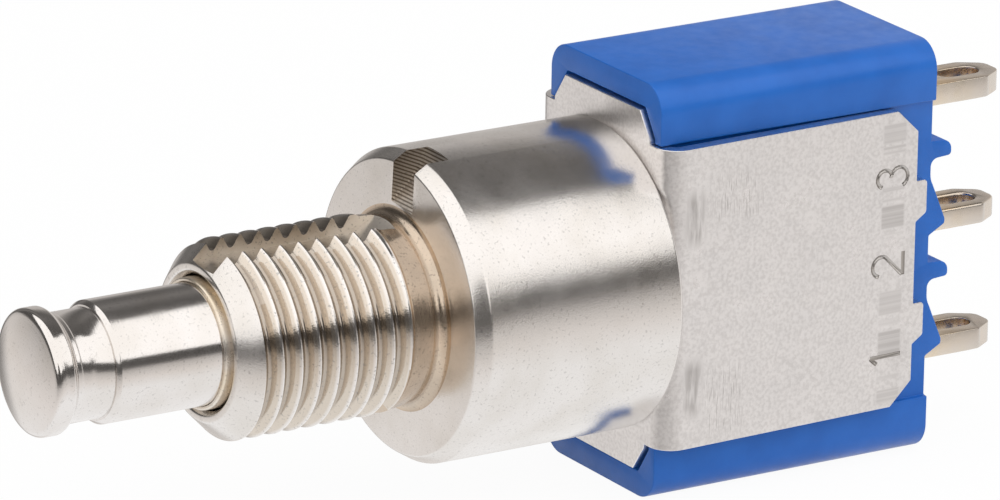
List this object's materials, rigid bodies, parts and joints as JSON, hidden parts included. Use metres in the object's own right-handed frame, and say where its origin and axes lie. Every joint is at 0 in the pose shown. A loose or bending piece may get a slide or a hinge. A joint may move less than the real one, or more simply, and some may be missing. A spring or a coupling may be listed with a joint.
{
  "type": "push button switch",
  "caption": "Miniature panel-mount push-button switch with a threaded bushing, a sprung metal plunger, a blue case and solder terminals.",
  "frame": {"origin": "where the switch axis meets the barrel's front shoulder, the face that seats on the panel", "axes": "-Y along the switch axis out of the panel, towards the plunger; +Z along the long side of the case, towards the keyway; +X towards one leg of the frame"},
  "size_m": [0.011, 0.0392, 0.015],
  "materials": {
    "satin_nickel": "satin nickel plate",
    "bare_steel": "bright zinc-plated sheet",
    "brass": "worn brass",
    "blue_plastic": "moulded blue",
    "gold_plate": "thin gold plate",
    "epoxy": "amber sealing compound",
    "spring_steel": "drawn wire",
    "white_plastic": "moulded acetal",
    "silver": "silver contact alloy"
  },
  "bodies": {
    "housing": {"bushing": "satin_nickel", "spring_plate": "bare_steel", "return_spring": "spring_steel", "frame": "bare_steel", "case": "blue_plastic", "terminal_1": "gold_plate", "terminal_2": "gold_plate", "terminal_3": "gold_plate", "seal_1": "epoxy", "seal_2": "epoxy", "seal_3": "epoxy", "fixed_contact_1": "silver", "fixed_contact_3": "silver", "lever_axle": "spring_steel"},
    "plunger": {"plunger": "satin_nickel", "guide_sleeve": "brass", "yoke": "white_plastic", "drive_pin": "spring_steel"},
    "lever": {"lever": "white_plastic", "tip_spring": "spring_steel"},
    "tip": {"tip": "spring_steel"},
    "rocker": {"rocker": "gold_plate", "moving_contact_1": "silver", "moving_contact_3": "silver"}
  },
  "joints": [
    {"name": "plunger_slide", "type": "slide", "parent": "housing", "child": "plunger", "axis": [0, 1, 0], "range_m": [0, 0.002], "stiffness_N_per_m": 1000, "springref_m": -0.002, "deforming": ["return_spring"]},
    {"name": "lever_hinge", "type": "hinge", "parent": "housing", "child": "lever", "pos_m": [0, 0.0129, 0], "axis": [-1, 0, 0], "range_deg": [0, 34.1]},
    {"name": "rocker_hinge", "type": "hinge", "parent": "housing", "child": "rocker", "pos_m": [0, 0.01595, 0], "axis": [1, 0, 0], "range_deg": [0, 12.1]},
    {"name": "tip_slide", "type": "slide", "parent": "lever", "child": "tip", "axis": [0, -0.9563, -0.2924], "range_m": [0, 0.0004], "stiffness_N_per_m": 500, "springref_m": -0.0005, "deforming": ["tip_spring"]}
  ],
  "couplings": [
    {"joint": "lever_hinge", "follows": "plunger_slide", "rad_per_m": 296.71},
    {"joint": "rocker_hinge", "follows": "plunger_slide", "rad_per_m": 104.72}
  ]
}
